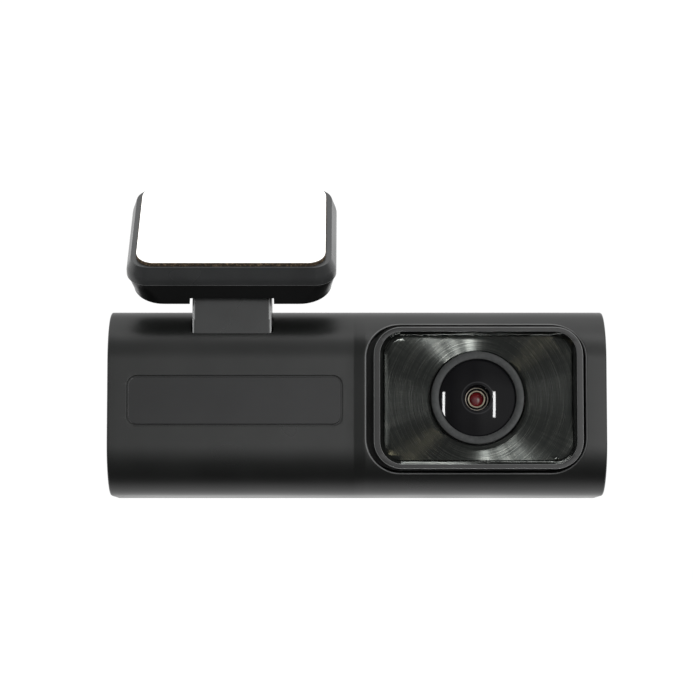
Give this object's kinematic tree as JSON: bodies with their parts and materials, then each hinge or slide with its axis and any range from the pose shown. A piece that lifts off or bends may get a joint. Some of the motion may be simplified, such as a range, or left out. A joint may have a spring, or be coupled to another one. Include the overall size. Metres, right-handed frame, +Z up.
{
  "type": "dash camera",
  "caption": "Bar-shaped dash camera with a wide-angle lens at one end, on a tilting arm under a slide-off adhesive windscreen mount.",
  "frame": {"origin": "middle of the adhesive mount's sticky face, liner on", "axes": "+X along the case towards the lens end, -Y the way the lens faces, +Z up; the case is level and the sticky face tilts 44 degrees"},
  "size_m": [0.094, 0.037, 0.06],
  "materials": {
    "release_paper": "smooth white coated paper",
    "foam_tape": "dull closed-cell foam",
    "base_plastic": "fine satin",
    "housing_plastic": "semi-gloss",
    "slider_plastic": "satin",
    "screw_steel": "zinc plated",
    "pin_steel": "ground",
    "spring_steel": "polished",
    "arm_plastic": "satin",
    "case_plastic": "satin, slightly green-grey black",
    "plate_plastic": "satin",
    "bezel_plastic": "semi-gloss",
    "seal_rubber": "dull",
    "brushed_metal": "black, spun brushed round the lens",
    "ring_metal": "matte grey anodised",
    "coated_glass": "anti-reflection coated",
    "barrel_black": "blackened",
    "retainer_metal": "polished",
    "red_coated_glass": "red coating",
    "holder_plastic": "matte",
    "filter_glass": "pink tint",
    "sensor_package": "ceramic package",
    "circuit_board": "green solder mask",
    "chip_package": "moulded epoxy",
    "thermal_silicone": "soft silicone",
    "sink_aluminium": "extruded",
    "capacitor_sleeve": "shrink sleeve",
    "speaker_body": "black steel frame",
    "tin_plate": "tin plated",
    "card_plastic": "moulded",
    "connector_steel": "drawn shell",
    "switch_metal": "pressed cover",
    "button_plastic": "semi-gloss",
    "clear_plastic": "clear moulded",
    "led_resin": "clear resin",
    "brass_strip": "stamped strip"
  },
  "bodies": {
    "mount_base": {"release_liner": "release_paper", "adhesive_foam": "foam_tape", "adhesive_base": "base_plastic"},
    "mount_head": {"hinge_housing": "housing_plastic", "slide_plate": "slider_plastic", "slide_plate_screws": "screw_steel", "hinge_pin": "pin_steel", "friction_washers": "spring_steel"},
    "camera": {"mount_arm": "arm_plastic", "arm_screws": "screw_steel", "front_shell": "case_plastic", "rear_cover": "case_plastic", "case_screws": "screw_steel", "name_plate": "plate_plastic", "lens_bezel": "bezel_plastic", "bezel_seal": "seal_rubber", "brushed_plate": "brushed_metal", "lens_ring": "ring_metal", "lens_seal": "seal_rubber", "front_glass": "coated_glass", "lens_barrel": "barrel_black", "iris_ring": "retainer_metal", "rear_lens": "red_coated_glass", "lens_holder": "holder_plastic", "lens_holder_screws": "screw_steel", "infrared_filter": "filter_glass", "image_sensor": "sensor_package", "main_board": "circuit_board", "board_screws": "screw_steel", "processor": "chip_package", "memory_chips": "chip_package", "thermal_pad": "thermal_silicone", "heat_sink": "sink_aluminium", "supercapacitors": "capacitor_sleeve", "speaker": "speaker_body", "microphone": "tin_plate", "card_socket": "tin_plate", "usb_socket": "connector_steel", "button_switches": "switch_metal", "light_pipe": "clear_plastic", "status_led": "led_resin", "wifi_antenna": "brass_strip"},
    "card": {"memory_card": "card_plastic"},
    "power_key": {"power_button": "button_plastic"},
    "snapshot_key": {"snapshot_button": "button_plastic"}
  },
  "joints": [
    {"name": "mount_release", "type": "slide", "parent": "mount_base", "child": "mount_head", "axis": [0, 0.7193, 0.6947], "range_m": [0, 0.0225]},
    {"name": "camera_tilt", "type": "hinge", "parent": "mount_head", "child": "camera", "pos_m": [0, 0.00224, -0.00937], "axis": [1, 0, 0], "range_deg": [-7, 60]},
    {"name": "card_slide", "type": "slide", "parent": "camera", "child": "card", "axis": [1, 0, 0], "range_m": [0, 0.015]},
    {"name": "power_press", "type": "slide", "parent": "camera", "child": "power_key", "axis": [0, -1, 0], "range_m": [0, 0.0005], "stiffness_N_per_m": 600},
    {"name": "snapshot_press", "type": "slide", "parent": "camera", "child": "snapshot_key", "axis": [0, -1, 0], "range_m": [0, 0.0005], "stiffness_N_per_m": 600}
  ]
}
